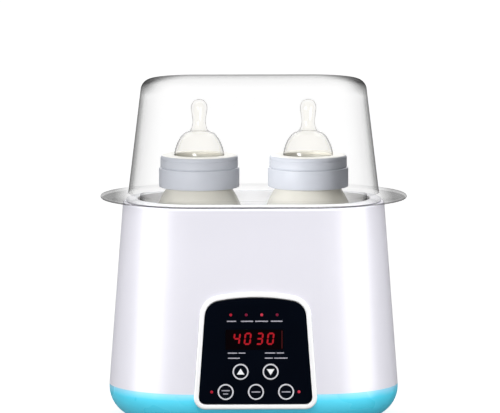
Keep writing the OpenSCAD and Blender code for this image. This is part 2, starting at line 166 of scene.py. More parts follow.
def lathe(name, profile, axis_x, material, steps=96):
    """Turns a profile of (radius, height) in millimetres about a bottle's axis.

    A profile that starts and ends on the axis closes there, and any other one closes on itself.
    """
    points, rings = [], []
    for r, z in profile:
        ring = []
        for k in range(steps):
            t = 2 * math.pi * k / steps
            ring.append(len(points))
            points.append((axis_x + r * MM * math.cos(t), r * MM * math.sin(t), z * MM))
        rings.append(ring)
    return make_mesh(name, points, bridge(rings, profile[0][0] > 0), material)


def sweep_plan(name, profile, straight, material, steps=40, runs=8):
    """Sweeps a profile of (distance from the spine, height), in metres, round the plan."""
    spine = []
    for side in (1, -1):
        for k in range(steps + 1):
            spine.append((side * straight, -math.pi / 2 + math.pi * k / steps + (0 if side > 0 else math.pi)))
        for k in range(1, runs):
            spine.append((side * straight * (1 - 2 * k / runs), math.pi / 2 * side))
    points, rings = [], []
    for r, z in profile:
        ring = []
        for x, turn in spine:
            ring.append(len(points))
            points.append((x + r * math.cos(turn), r * math.sin(turn), z))
        rings.append(ring)
    return make_mesh(name, points, bridge(rings, profile[0][0] > 0), material)


def panel_lathe(name, at, profile, material, steps=72):
    """Turns a profile of (radius, depth) in millimetres about a point on the panel."""
    points, rings = [], []
    for r, depth in profile:
        ring = []
        for k in range(steps):
            t = 2 * math.pi * k / steps
            ring.append(len(points))
            place = Vector(((at.x + r * math.cos(t)) * MM, (at.y + r * math.sin(t)) * MM, depth * MM))
            points.append(TO_PANEL @ place)
        rings.append(ring)
    return make_mesh(name, points, bridge(rings, profile[0][0] > 0), material)


def prisms(name, outlines, low, high, material, place=TO_PANEL):
    """Flat-topped raised shapes on the panel, from outlines in millimetres."""
    points, faces = [], []
    for outline in outlines:
        base = len(points)
        count = len(outline)
        for depth in (low, high):
            points += [place @ Vector((x * MM, y * MM, depth * MM)) for x, y in outline]
        faces.append(tuple(range(base + count - 1, base - 1, -1)))
        faces.append(tuple(range(base + count, base + 2 * count)))
        for k in range(count):
            m = (k + 1) % count
            faces.append((base + k, base + m, base + count + m, base + count + k))
    return make_mesh(name, points, faces, material, smooth=False)


def ring_profile(outer, inner, low, high, edge=0.05):
    """A flat ring's section with slightly broken edges."""
    return [(outer, low), (outer, high - edge), (outer - edge, high), (inner + edge, high),
            (inner, high - edge), (inner, low)]


def paint_faces(piece, material, chosen):
    """Gives another material to the faces that pass a test."""
    mesh = piece.data
    mesh.materials.append(material)
    slot = len(mesh.materials) - 1
    for face in mesh.polygons:
        if chosen(face):
            face.material_index = slot


# ---------------------------------------------------------------- material tools


class Paint:
    """A node material with short ways to add and join nodes."""

    def __init__(self, name):
        self.material = bpy.data.materials.new(name)
        self.material.use_nodes = True
        self.tree = self.material.node_tree
        self.tree.nodes.clear()
        self.output = self.tree.nodes.new("ShaderNodeOutputMaterial")
        self.place = self.tree.nodes.new("ShaderNodeTexCoord").outputs["Object"]

    def node(self, kind, links=None, **settings):
        made = self.tree.nodes.new("ShaderNode" + kind)
        for key, value in settings.items():
            setattr(made, key, value)
        for socket, value in (links or {}).items():
            self.feed(made.inputs[socket], value)
        return made

    def feed(self, socket, value):
        if isinstance(value, bpy.types.NodeSocket):
            self.tree.links.new(value, socket)
        else:
            socket.default_value = value

    def noise(self, scale, detail=3.0, roughness=0.55, stretch=None):
        where = self.place
        if stretch:
            where = self.node("Mapping", {"Vector": where, "Scale": stretch}).outputs["Vector"]
        return self.node("TexNoise", {"Vector": where, "Scale": scale, "Detail": detail,
                                      "Roughness": roughness}).outputs["Fac"]

    def spread(self, value, low, high, new_low, new_high):
        return self.node("MapRange", {"Value": value, "From Min": low, "From Max": high,
                                      "To Min": new_low, "To Max": new_high}).outputs["Result"]

    def between(self, share, first, second):
        made = self.node("Mix", data_type="RGBA")
        for socket, value in ((made.inputs[0], share), (made.inputs[6], first), (made.inputs[7], second)):
            self.feed(socket, value)
        return made.outputs[2]

    def math(self, operation, first, second=0.0):
        return self.node("Math", {0: first, 1: second}, operation=operation).outputs[0]

    def bump(self, height, distance, strength=1.0):
        return self.node("Bump", {"Height": height, "Distance": distance,
                                  "Strength": strength}).outputs["Normal"]

    def surface(self, **values):
        shader = self.node("BsdfPrincipled")
        for key, value in values.items():
            self.feed(shader.inputs[key.replace("_", " ")], value)
        self.tree.links.new(shader.outputs[0], self.output.inputs["Surface"])
        return shader


def tone(colour, factor):
    return tuple(min(c * factor, 1.0) for c in colour[:3]) + (1.0,)


def moulded(name, colour, rough=0.35, spread=0.04, mottle=0.025, grain=2600, depth=2e-6, specular=0.5):
    """Moulded plastic: a faint cloud in the colour, a slow change of gloss and a fine skin grain."""
    paint = Paint(name)
    cloud = paint.noise(28, 2)
    gloss = paint.noise(40, 1)
    fine = paint.noise(grain, 2)
    paint.surface(
        Base_Color=paint.between(cloud, tone(colour, 1 - mottle), tone(colour, 1 + mottle)),
        Roughness=paint.spread(gloss, 0.3, 0.7, rough - spread / 2, rough + spread / 2),
        Normal=paint.bump(fine, depth),
        Specular_IOR_Level=specular,
    )
    return paint.material


def brushed(name, colour, rough=0.3):
    """Turned or brushed metal with fine scratches round the Z axis."""
    paint = Paint(name)
    scratch = paint.noise(900, 4, 0.6, (1, 1, 14))
    stain = paint.noise(60, 3)
    paint.surface(
        Base_Color=paint.between(stain, tone(colour, 0.88), tone(colour, 1.06)),
        Roughness=paint.spread(scratch, 0.3, 0.7, rough - 0.08, rough + 0.12),
        Normal=paint.bump(scratch, 6e-6),
        Metallic=1.0,
    )
    return paint.material


def rubbery(name, colour, rough=0.75):
    """Matte rubber with a soft moulded grain and lighter patches of dust."""
    paint = Paint(name)
    grain = paint.noise(1800, 5, 0.7)
    dust = paint.noise(90, 4)
    paint.surface(
        Base_Color=paint.between(paint.spread(dust, 0.45, 0.75, 0, 1), tone(colour, 0.9), tone(colour, 1.35)),
        Roughness=paint.spread(grain, 0.3, 0.7, rough - 0.1, rough + 0.1),
        Normal=paint.bump(grain, 3e-5),
    )
    return paint.material


def circuit(name, colour):
    """A circuit board: solder resist over copper traces and pads."""
    paint = Paint(name)
    tracks = paint.node("TexBrick", {"Vector": paint.place, "Scale": 160.0, "Mortar Size": 0.06,
                                     "Color1": tone(colour, 0.8), "Color2": tone(colour, 1.1),
                                     "Mortar": tone(colour, 2.2)})
    paint.surface(
        Base_Color=tracks.outputs["Color"],
        Roughness=paint.spread(paint.noise(300, 3), 0.3, 0.7, 0.3, 0.42),
        Normal=paint.bump(tracks.outputs["Fac"], 2e-5),
    )
    return paint.material


def clear_plastic(name, steps, inside=None, blends=(), inside_blends=(), colour=(1, 1, 1), mirror=0.1,
                  gloss=0.03, haze=0.0, milk=(1, 1, 1)):
    """Clear plastic, from what it lets through at each slant: steps of (0 face on to 1 edge on, share).

    inside is the same list where the surface is seen from within. Each blend goes over to another
    list along an axis, as (axis, distance from the middle where it starts, where it ends, list).
    mirror is how strongly the plastic shines at a glance, and haze how milky it is.
    """
    paint = Paint(name)
    edge = paint.node("LayerWeight", {"Blend": 0.5}).outputs["Facing"]
    place = paint.node("SeparateXYZ", {0: paint.place})

    def ramp(stops):
        made = paint.node("ValToRGB", {"Fac": edge})
        points = made.color_ramp.elements
        for turn, (position, share) in enumerate(stops):
            if turn < 2:
                points[turn].position = position
            else:
                points.new(position)
        for point, (position, share) in zip(points, stops):
            point.color = tuple(c * share for c in colour) + (1.0,)
        return made.outputs["Color"]

    def blended(stops, changes):
        shade = ramp(stops)
        for axis, start, end, other in changes:
            distance = paint.math("ABSOLUTE", place.outputs[axis])
            shade = paint.between(paint.spread(distance, start, end, 0.0, 1.0), shade, ramp(other))
        return shade

    tint = blended(steps, blends)
    if inside:
        within = paint.node("NewGeometry").outputs["Backfacing"]
        tint = paint.between(within, tint, blended(inside, inside_blends))
    through = paint.node("BsdfTransparent", {"Color": tint})
    streak = paint.noise(420, 3)
    shine = paint.node("BsdfGlossy", {"Roughness": paint.spread(streak, 0.3, 0.7, gloss, gloss * 2.5)})
    shine.inputs["Color"].default_value = (1, 1, 1, 1)
    share = paint.math("ADD", paint.math("MULTIPLY", paint.math("POWER", edge, 5.0), mirror), 0.015)
    last = paint.node("MixShader", {0: share, 1: through.outputs[0], 2: shine.outputs[0]}).outputs[0]
    if haze:
        cloud = paint.noise(60, 3)
        milky = paint.node("BsdfDiffuse", {"Color": paint.between(cloud, tone(milk, 0.97), tone(milk, 1.03))})
        last = paint.node("MixShader", {0: haze, 1: last, 2: milky.outputs[0]}).outputs[0]
    paint.tree.links.new(last, paint.output.inputs["Surface"])
    return paint.material


def glowing(name, colour, dark=(0.02, 0.001, 0.003)):
    """A lit lamp or display bar: dark red plastic that glows a little unevenly."""
    paint = Paint(name)
    flicker = paint.noise(700, 2)
    paint.surface(
        Base_Color=tone(dark, 1.0),
        Roughness=paint.spread(flicker, 0.3, 0.7, 0.35, 0.5),
        Emission_Color=paint.between(flicker, tone(colour, 0.8), tone(colour, 1.15)),
        Emission_Strength=1.0,
        Specular_IOR_Level=0.1,
    )
    return paint.material


def base_painted_highlight(name, deep, painted_light_colour, low, high):
    """Glossy coloured plastic with painted light: its colour is painted paler towards its upper edge, where
    light enters it.
    """
    paint = Paint(name)
    height = paint.node("SeparateXYZ", {0: paint.place}).outputs["Z"]
    cloud = paint.math("MULTIPLY", paint.noise(45, 3), 0.004)
    share = paint.spread(paint.math("ADD", height, cloud), low, high, 0.0, 1.0)
    paint.surface(
        Base_Color=paint.between(share, tone(deep, 1.0), tone(painted_light_colour, 1.0)),
        Roughness=paint.spread(paint.noise(40, 1), 0.3, 0.7, 0.26, 0.31),
        Normal=paint.bump(paint.noise(2600, 2), 2e-6),
        Specular_IOR_Level=0.4,
    )
    return paint.material


SHELL_WHITE = (0.80, 0.79, 0.86)
FRAME_WHITE = (0.955, 0.955, 0.96)
# The base's own colour is the deep blue; the pale blue is painted light towards its upper edge
BASE_DEEP = (0.09, 0.70, 0.93)
BASE_PAINTED_LIGHT = (0.35, 0.72, 0.92)

# What a clear wall lets through, from face on (0) to edge on (1)
WALL = ((0.0, 0.996), (0.19, 0.991), (0.3, 0.974), (0.46, 0.925), (0.574, 0.87), (0.65, 0.75),
        (0.75, 0.6), (1.0, 0.33))
FLAT = ((0.0, 0.997), (0.9, 0.987), (0.96, 0.9), (1.0, 0.75))
SHARP = ((0.0, 0.995), (0.15, 0.97), (0.3, 0.85), (0.45, 0.62), (0.6, 0.42), (1.0, 0.28))
# CORNER lets through far less than a clear wall: painted dark reflection for the lid's corners
CORNER = ((0.0, 0.99), (0.1, 0.96), (0.2, 0.88), (0.3, 0.7), (0.42, 0.34), (0.55, 0.09), (1.0, 0.03))
SMOKED = ((0.0, 0.9), (0.6, 0.72), (0.88, 0.58), (1.0, 0.28))
# LINE lets through only half, face on: a painted dark line for the brim's rolled edge
LINE = ((0.0, 0.5), (0.6, 0.42), (1.0, 0.25))
TEAT = ((0.0, 1.0), (0.4, 0.99), (0.6, 0.93), (0.75, 0.72), (0.9, 0.5), (1.0, 0.4))
BELOW_CORNER = ("Z", 0.266, 0.255, WALL)
BOTTLE = ((0.0, 1.0), (0.5, 0.97), (0.8, 0.75), (1.0, 0.5))

materials = {
    "shell": moulded("shell_white", SHELL_WHITE, rough=0.3, mottle=0.012, specular=0.85),
    "base": base_painted_highlight("base_blue", BASE_DEEP, BASE_PAINTED_LIGHT, 0.0262, 0.0322),
    "frame": moulded("panel_frame", FRAME_WHITE, rough=0.3, mottle=0.015),
    "plate": moulded("panel_black", (0.0013, 0.0024, 0.0056), rough=0.2, mottle=0.25, specular=0.04),
    "key": moulded("key_black", (0.0011, 0.0020, 0.0048), rough=0.35, mottle=0.2, specular=0.05),
    "print": moulded("panel_print", (0.40, 0.39, 0.45), rough=0.5, mottle=0.08),
    "key_print": moulded("key_print", (0.62, 0.62, 0.66), rough=0.5, mottle=0.05),
    "arrow_print": moulded("arrow_print", (0.88, 0.88, 0.9), rough=0.5, mottle=0.03),
    "window": moulded("display_smoke", (0.0024, 0.0008, 0.0016), rough=0.12, mottle=0.2, specular=0.06),
    "digit": glowing("digit_red", (0.42, 0.010, 0.016)),
    "lamp_on": glowing("lamp_red", (0.42, 0.012, 0.030)),
    "lamp_bright": glowing("lamp_red_bright", (0.62, 0.040, 0.075)),
    "lamp_dim": glowing("lamp_red_dim", (0.19, 0.008, 0.036)),
    "edge_glow": glowing("display_edge_glow", (0.035, 0.006, 0.005)),
    # The lid's inside is painted darker at its round ends, from 55 to 86 mm out along X: painted dark
    # reflection at the corners
    "lid": clear_plastic("lid_clear", FLAT, blends=(BELOW_CORNER,), inside=SHARP,
                         inside_blends=(("X", 0.055, 0.086, CORNER), BELOW_CORNER)),
    "lid_flat": clear_plastic("lid_clear_flat", FLAT, mirror=0.05),
    "brim": clear_plastic("lid_clear_brim", FLAT, blends=(("X", 0.097, 0.110, SMOKED),), mirror=0.08),
    "brim_edge": clear_plastic("lid_clear_edge", LINE, inside=FLAT, mirror=0.3),
    "tank": moulded("tank_plastic", (0.84, 0.84, 0.86), rough=0.4),
    "rack": moulded("rack_plastic", (0.86, 0.86, 0.88), rough=0.4),
    "silicone": rubbery("seal_silicone", (0.55, 0.55, 0.56), rough=0.6),
    "steel": brushed("heater_steel", (0.62, 0.62, 0.64)),
    "fastener": brushed("fastener_steel", (0.55, 0.55, 0.57), rough=0.35),
    "element": brushed("element_metal", (0.4, 0.4, 0.42), rough=0.45),
    "component": moulded("component_black", (0.02, 0.02, 0.023), rough=0.5),
    "ceramic": moulded("fuse_ceramic", (0.6, 0.5, 0.36), rough=0.6, mottle=0.1),
    "lead": moulded("lead_red", (0.42, 0.02, 0.015), rough=0.4),
    "board": circuit("board_green", (0.01, 0.11, 0.04)),
    "parts": moulded("board_parts", (0.42, 0.32, 0.06), rough=0.4, mottle=0.15),
    "terminal": moulded("terminal_green", (0.03, 0.28, 0.07), rough=0.4),
    "cable": moulded("cable_grey", (0.4, 0.41, 0.43), rough=0.5, mottle=0.08),
    "gland": moulded("gland_white", (0.8, 0.8, 0.83), rough=0.45),
    "foot": rubbery("foot_rubber", (0.06, 0.06, 0.065)),
    "bottle": clear_plastic("bottle_clear", BOTTLE, colour=(0.99, 0.98, 0.95), haze=0.45,
                            milk=(0.92, 0.91, 0.86), gloss=0.08),
    "milk": moulded("milk", (0.90, 0.88, 0.80), rough=0.35, depth=0.0),
    "ring": moulded("ring_grey", (0.53, 0.55, 0.60), rough=0.5, mottle=0.02, specular=0.3),
    # Cream for the screw rings' flat tops, also laid into their inner bores as painted light
    "ring_top": moulded("ring_cream", (0.93, 0.92, 0.88), rough=0.6, mottle=0.02, specular=0.1),
    "teat": clear_plastic("teat_silicone", TEAT, colour=(1.0, 0.995, 0.985), haze=0.02,
                          milk=(0.98, 0.97, 0.93), gloss=0.1),
    "teat_inside": clear_plastic("teat_silicone_inside", FLAT, colour=(1.0, 0.998, 0.985), gloss=0.12),
    "teat_flange": clear_plastic("teat_silicone_flange", FLAT, haze=0.85, milk=(0.95, 0.94, 0.88)),
}

NODE_MATERIALS = {
    "base_shell": "base", "body_shell": "shell", "inner_tank": "tank", "tank_gasket": "silicone",
    "heater_seal": "silicone", "heater_plate": "steel", "heating_element": "element",
    "heater_clamp": "fastener", "heater_screws": "fastener", "thermostat": "component",
    "thermal_fuse": "ceramic", "temperature_sensor": "steel", "heater_leads": "lead",
    "power_board": "board", "power_board_parts": "parts", "terminal_block": "terminal",
    "board_screws": "fastener", "control_panel": "plate", "display_window": "window",
    "display_module": "component", "control_board": "board", "key_switches": "component",
    "panel_screws": "fastener", "panel_harness": "cable", "cable_gland": "gland",
    "rubber_feet": "foot", "base_screws": "fastener", "bottle_rack": "rack",
    "milk_left": "milk", "milk_right": "milk",
}

for node, finish in NODE_MATERIALS.items():
    slots = frame["nodes"][node].data.materials
    slots.clear()
    slots.append(materials[finish])


# ---------------------------------------------------------------- control panel

PLATE_H = 84.2
LOW_W, HIGH_W = 89.8, 78.0
LOW_CORNER, HIGH_CORNER, ARCH = 5.5, 13.0, 160.0


def plate_outline(grow):
    """The front plate's outline, grown by the given millimetres, as the CAD model draws it."""
    lean = math.atan((LOW_W - HIGH_W) / 2 / PLATE_H)
    low_x = LOW_W / 2 - LOW_CORNER * (1 + math.tan(lean))
    low_y = LOW_CORNER - PLATE_H / 2
    high_x = HIGH_W / 2 - HIGH_CORNER * (1 - math.tan(lean))
    swing = math.degrees(math.asin(high_x / (ARCH - HIGH_CORNER)))
    arch_y = PLATE_H / 2 - ARCH
    high_y = arch_y + (ARCH - HIGH_CORNER) * math.cos(math.radians(swing))
    lean = math.degrees(lean)
    return (arc(low_x, low_y, LOW_CORNER + grow, -90, lean, 10)
            + arc(high_x, high_y, HIGH_CORNER + grow, lean, 90 - swing, 14)
            + arc(0, arch_y, ARCH + grow, 90 - swing, 90 + swing, 24)[1:-1]
            + arc(-high_x, high_y, HIGH_CORNER + grow, 90 + swing, 180 - lean, 14)
            + arc(-low_x, low_y, LOW_CORNER + grow, 180 - lean, 270, 10))


def make_frame():
    """The white frame: a rounded rim swept along the plate's outline, with its rear ledge."""
    width, front, back = 3.8, 1.6, -3.0
    profile = ([(width, back)] + arc(width - 1.3, front - 1.3, 1.3, 0, 90, 8)
               + arc(0.6, front - 0.6, 0.6, 90, 180, 6)
               + [(0.0, -1.1), (-1.8, -1.1), (-1.8, back)])
    points, rings = [], []
    for grow, depth in profile:
        ring = []
        for x, y in plate_outline(grow):
            ring.append(len(points))
            points.append(TO_PANEL @ Vector((x * MM, y * MM, depth * MM)))
        rings.append(ring)
    piece = make_mesh("panel_frame", points, bridge(rings), materials["frame"])
    crease_by_angle(piece, 40)
    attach(piece, WARMER)
    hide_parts("control_bezel")


SLANT = math.tan(math.radians(7))
SEGMENTS = {"0": "abcdef", "3": "abcdg", "4": "bcfg"}
DIGIT_OFFSETS = (-13.8, -5.3, 4.1, 12.6)
LAMP_R = 1.1
LAMP_PITCH, FIRST_LAMP_X, LAMP_ROW_Y = 12.1, -19.3, 28.3
LOW_LAMPS = ((-34.3, -32.1, "lamp_on"), (34.0, -32.1, "lamp_bright"))
POST_PLACES = ((39.7, 32.2), (43, -33), (-39.7, 32.2), (-43, -33))


def digit_bars(symbol, at_x, at_y, width=4.2, height=8.3, bar=1.35, gap=0.12):
    """The lit bars of one seven-bar digit, each a pointed lozenge."""
    half = height / 2
    ends = {
        "a": ((0, height), (width, height)), "g": ((0, half), (width, half)), "d": ((0, 0), (width, 0)),
        "f": ((0, height), (0, half)), "b": ((width, height), (width, half)),
        "e": ((0, half), (0, 0)), "c": ((width, half), (width, 0)),
    }
    lit = []
    for letter in SEGMENTS[symbol]:
        start, end = Vector(ends[letter][0]), Vector(ends[letter][1])
        along = (end - start).normalized()
        side = Vector((-along.y, along.x)) * bar / 2
        start, end = start + along * gap, end - along * gap
        shape = [start, start + along * bar / 2 + side, end - along * bar / 2 + side,
                 end, end - along * bar / 2 - side, start + along * bar / 2 - side]
        lit.append([(at_x + p.x - width / 2 + (p.y - half) * SLANT, at_y + p.y - half) for p in shape])
    return lit


def pill(x, y, length, height):
    """A bar with round ends that starts at x."""
    r = min(height, length) / 2
    return arc(x + length - r, y, r, -90, 90, 4) + arc(x + r, y, r, 90, 270, 4)


def bars(x, y, *lengths, height=0.85, gap=0.9):
    """Plain bars in a row, one for each word that a real panel would have printed there."""
    marks = []
    for length in lengths:
        marks.append(pill(x, y, length, height))
        x += length + gap
    return marks


def mark(name, outlines, low, high, finish, body):
    """A printed mark on the panel or on a key."""
    piece = prisms(name, outlines, low, high, materials[finish])
    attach(piece, body)


def make_marks():
    """The display's digits and the panel's printed bars."""
    window = on_panel(middle("display_window")) / MM
    lo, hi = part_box("display_window")
    right = hi.x / MM
    digits = []
    for symbol, offset in zip("4030", DIGIT_OFFSETS):
        digits += digit_bars(symbol, window.x + offset, window.y + 0.7)
    mark("display_digits", digits, 1.0, 1.06, "digit", WARMER)
    glow = [(right - 1.5, window.y - 7), (right - 0.7, window.y - 7),
            (right - 0.7, window.y + 7), (right - 1.5, window.y + 7)]
    mark("display_edge", [glow], 1.0, 1.04, "edge_glow", WARMER)
    words = []
    for x, length in ((-22.5, 7.5), (-11.6, 9.9), (-0.4, 10.4), (11.8, 9.5)):
        words += bars(x, 23.3, length)
    words += bars(-21.8, -1.6, 7.6, 5.4) + bars(-21.6, -5.6, 9.5)
    words += bars(7.2, -1.6, 8.4, 5.9) + bars(7.2, -5.6, 6.4, 10.7)
    mark("panel_marks", words, 1.15, 1.23, "print", WARMER)


def make_lamps():
    """Domed lamps in the plate: the third of the row is the brightest, the second and fourth are dim."""
    finishes = ("lamp_on", "lamp_dim", "lamp_bright", "lamp_dim")
    places = [(LAMP_PITCH * i + FIRST_LAMP_X, LAMP_ROW_Y, finish) for i, finish in enumerate(finishes)]
    places += LOW_LAMPS
    back, brow = 0.2, 1.15
    lens = [(0.0, back), (LAMP_R, back), (LAMP_R, brow)]
    lens += [(r, brow + 0.5 * h) for r, h in arc(0, 0, LAMP_R, 12, 80, 8)]
    for number, (x, y, finish) in enumerate(places, 1):
        piece = panel_lathe(f"lamp_{number}", Vector((x, y)), lens + [(0.0, 1.7)], materials[finish], 24)
        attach(piece, WARMER)
        if number == 1:
            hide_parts("indicator_leds")


def make_frame_posts():
    """The frame's four hollow posts, behind the plate, that hold the control board."""
    for number, (x, y) in enumerate(POST_PLACES, 1):
        post = [(2.5, -8.0), (2.5, -3.0), (1.1, -3.0), (1.1, -8.0)]
        piece = panel_lathe(f"frame_post_{number}", Vector((x, y)), post, materials["frame"], 32)
        crease_by_angle(piece)
        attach(piece, WARMER)


KEY_R = 6.5
KEY_TOP = 1.5


def key_symbol(node, x, y):
    """Arrows on the two upper keys, and bars in place of the words on the three lower ones."""
    if node == "key_up":
        return [[(x - 3.0, y - 2.1), (x + 3.0, y - 2.1), (x, y + 2.6)]]
    if node == "key_down":
        return [[(x - 3.0, y + 2.1), (x, y - 2.6), (x + 3.0, y + 2.1)]]
    if node == "key_warm":
        return bars(x - 3.3, y + 1.1, 6.6) + bars(x - 2.1, y - 1.5, 4.2)
    return bars(x - 3.5, y, 7.0)


def make_key(node):
    """A key cap with a shallow dish and a soft edge, its printed ring and its symbol."""
    at = key_place(node) / MM
    cap = ([(0.0, -3.0), (1.5, -3.0), (1.5, -2.2), (7.1, -2.2), (7.1, -1.2), (KEY_R, -1.2)]
           + arc(KEY_R - 0.35, KEY_TOP - 0.35, 0.35, 0, 90, 6)
           + [(KEY_R - 1.6, KEY_TOP), (3.2, KEY_TOP - 0.05), (0.0, KEY_TOP - 0.07)])
    piece = panel_lathe(node + "_cap", at, cap, materials["key"])
    crease_by_angle(piece, 40)
    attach(piece, node)
    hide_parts(node)
    band = ring_profile(KEY_R - 0.25, KEY_R - 1.35, KEY_TOP - 0.1, KEY_TOP + 0.05)
    piece = panel_lathe(node + "_ring", at, band, materials["key_print"])
    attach(piece, node)
    finish = "arrow_print" if node in ("key_up", "key_down") else "print"
    mark(node + "_icon", key_symbol(node, at.x, at.y), KEY_TOP - 0.12, KEY_TOP + 0.03, finish, node)


make_frame()
make_frame_posts()
make_marks()
make_lamps()
for key in ("key_up", "key_down", "key_warm", "key_steam", "key_timer"):
    make_key(key)


# ---------------------------------------------------------------- lid


def make_lid():
    """The clear lid as one wall of even thickness, with a rolled brim and soft corners."""
    lo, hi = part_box("lid")
    straight = 46 * MM
    brim = hi.x - straight
    top = hi.z
    wall = 2.4 * MM
    under = lo.z + 4.8 * MM
    above = under + wall
    foot, shoulder, corner, fillet = 53 * MM, 43.2 * MM, 9 * MM, 2.5 * MM
    skirt_out, skirt_in = 45.3 * MM, 43.7 * MM
    ring_x, ring_z = shoulder - corner, top - corner
    profile = ([(0.0, top - wall)]
               + arc(ring_x, ring_z, corner - wall, 90, 6, 14)
               + arc(foot - wall - 2 * MM, above + 2 * MM, 2 * MM, 10, -90, 6)
               + [(skirt_in, above), (skirt_in, lo.z), (skirt_out, lo.z), (skirt_out, under - 0.6 * MM),
                  (skirt_out + 0.6 * MM, under)]
               + arc(brim - wall / 2, under + wall / 2, wall / 2, -90, 90, 12)
               + arc(foot + fillet, above + fillet, fillet, 270, 190, 8)
               + arc(ring_x, ring_z, corner, 6, 90, 16)
               + [(0.0, top)])
    piece = sweep_plan("clear_lid", profile, straight, materials["lid"], steps=64, runs=16)
    crease_by_angle(piece, 50)

    def spine_to(face):
        """The way from the plan's spine to a face's middle."""
        x = face.center.x
        return Vector((x - max(-straight, min(straight, x)), face.center.y, 0))

    def faces_in(face):
        return face.center.z > above and face.normal.dot(spine_to(face)) < 0

    paint_faces(piece, materials["lid_flat"],
                lambda f: faces_in(f) or f.center.z > ring_z and (f.normal.z < 0 or f.normal.z > 0.97))
    paint_faces(piece, materials["brim"], lambda f: f.center.z < above + fillet and abs(f.normal.z) > 0.4)
    # The brim's rolled outer edge gets a painted dark line, standing in for the dark reflections in it
    paint_faces(piece, materials["brim_edge"],
                lambda f: f.center.z < under + wall * 0.6 and spine_to(f).length > brim - wall / 2)
    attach(piece, "lid")
    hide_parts("lid")


make_lid()


# ---------------------------------------------------------------- bottles


def make_bottle(side):
    x = middle("bottle_" + side).x
    body = "bottle_" + side

    lo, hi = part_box("bottle_" + side)
    base, rim = lo.z / MM, hi.z / MM
    radius = (hi.x - lo.x) / 2 / MM
    wall = 1.7
    side_curve = smooth_curve([
        (radius - 1, base + 4), (radius - 0.4, 110), (radius, 146), (radius - 0.6, 157),
        (radius - 2.1, 165.5), (radius - 4.6, 172), (radius - 7.7, 178.5), (25.7, 184.5)], 6)
    profile = (arc(radius - 5, base + 4, 4, -90, -10, 6) + side_curve
               + [(25.7, 185.6), (24.4, 185.6), (24.4, rim - 0.4), (24.1, rim), (23.0, rim),
                  (22.7, rim - 0.4), (22.7, 186)]
               + [(r - wall, z) for r, z in reversed(side_curve)]
               + arc(radius - 5, base + 4, 2.3, -10, -90, 6))
    profile = [(0.0, base)] + profile + [(0.0, base + wall)]
    piece = lathe(f"bottle_{side}_wall", profile, x, materials["bottle"])
    crease_by_angle(piece, 50)
    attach(piece, body)
    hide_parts("bottle_" + side)

    lo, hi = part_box("screw_ring_" + side)
    low, high = lo.z / MM, hi.z / MM
    outer = (hi.x - lo.x) / 2 / MM
    upper = outer - 1.15
    step = 201.0
    profile = ([(26.1, low), (outer - 0.8, low), (outer - 0.2, low + 0.25), (outer, low + 0.8)]
               + arc(outer - 0.9, step - 0.9, 0.9, 0, 90, 5)
               + [(upper + 0.05, step), (upper - 0.35, step + 0.15), (upper - 0.35, step + 0.55),
                  (upper, step + 0.8), (upper, high - 4.2), (upper - 0.2, high - 4.0),
                  (upper - 0.2, high - 3.6), (upper - 0.05, high - 3.4)]
               + arc(upper - 2.4, high - 2.35, 2.35, 0, 90, 8)
               + [(20.6, high), (20.1, high - 0.2), (19.9, high - 0.7), (19.9, 208.6), (26.1, 208.6)])
    piece = lathe(f"screw_ring_{side}_cap", profile, x, materials["ring"], steps=128)
    crease_by_angle(piece, 45)
    axis = Vector((x, 0, 0))
    # The flat top is cream, and the inner bore is painted the same cream: painted light in the bore, which
    # lies in shade
    paint_faces(piece, materials["ring_top"],
                lambda f: f.center.z > (high - 0.3) * MM or (f.center - axis).xy.length < 20.7 * MM)
    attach(piece, body)
    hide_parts("screw_ring_" + side)

    outer = smooth_curve([
        (19.4, 208.4), (19.3, 214), (16.6, 221.6), (12.4, 227.4), (7.2, 230.2),
        (5.2, 236.5), (5.9, 243.5), (6.4, 249), (4.3, 253.6), (0.0, 255)], 8)
    inner = smooth_curve([
        (17.6, 206.7), (17.5, 213.4), (14.9, 220.2), (10.8, 225.7), (5.4, 229.2),
        (3.4, 237), (4.3, 246), (3.4, 251), (0.0, 252.6)], 8)
    profile = list(reversed(inner)) + [(24.2, 206.7), (24.2, 208.4)] + outer
    piece = lathe(f"teat_{side}_silicone", profile, x, materials["teat"])
    paint_faces(piece, materials["teat_inside"], lambda f: f.normal.xy.dot((f.center - axis).xy) < 0)
    paint_faces(piece, materials["teat_flange"], lambda f: f.center.z < 208.6 * MM)
    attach(piece, body)
    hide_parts("teat_" + side)


make_bottle("left")
make_bottle("right")


# ---------------------------------------------------------------- studio

ELEVATION = math.radians(6.9)
DISTANCE = 5.5
FIELD = 0.395
AIM = Vector((-0.0029, 0.0, 0.16955))
TURN = math.radians(-1.2)


def add_camera():
    data = bpy.data.cameras.new("camera")
    data.lens = data.sensor_width * DISTANCE / FIELD
    data.clip_end = 200
    camera = bpy.data.objects.new("camera", data)
    camera.location = AIM + DISTANCE * Vector((math.sin(TURN) * math.cos(ELEVATION),
                                               -math.cos(TURN) * math.cos(ELEVATION), math.sin(ELEVATION)))
    camera.rotation_euler = (math.pi / 2 - ELEVATION, 0, TURN)
    bpy.context.scene.collection.objects.link(camera)
    bpy.context.scene.camera = camera


def add_floor():
    paint = Paint("floor_white")
    mottle = paint.noise(3, 2)
    paint.surface(
        Base_Color=paint.between(mottle, (0.86, 0.86, 0.86, 1), (0.88, 0.88, 0.88, 1)),
        Roughness=0.9,
        Specular_IOR_Level=0.0,
        Emission_Color=(1, 1, 1, 1),
        Emission_Strength=0.62,
    )
    size = 40
    points = [(-size, -size, 0), (size, -size, 0), (size, size, 0), (-size, size, 0)]
    floor = make_mesh("floor", points, [(0, 1, 2, 3)], paint.material, smooth=False)
    floor.visible_diffuse = floor.visible_glossy = False


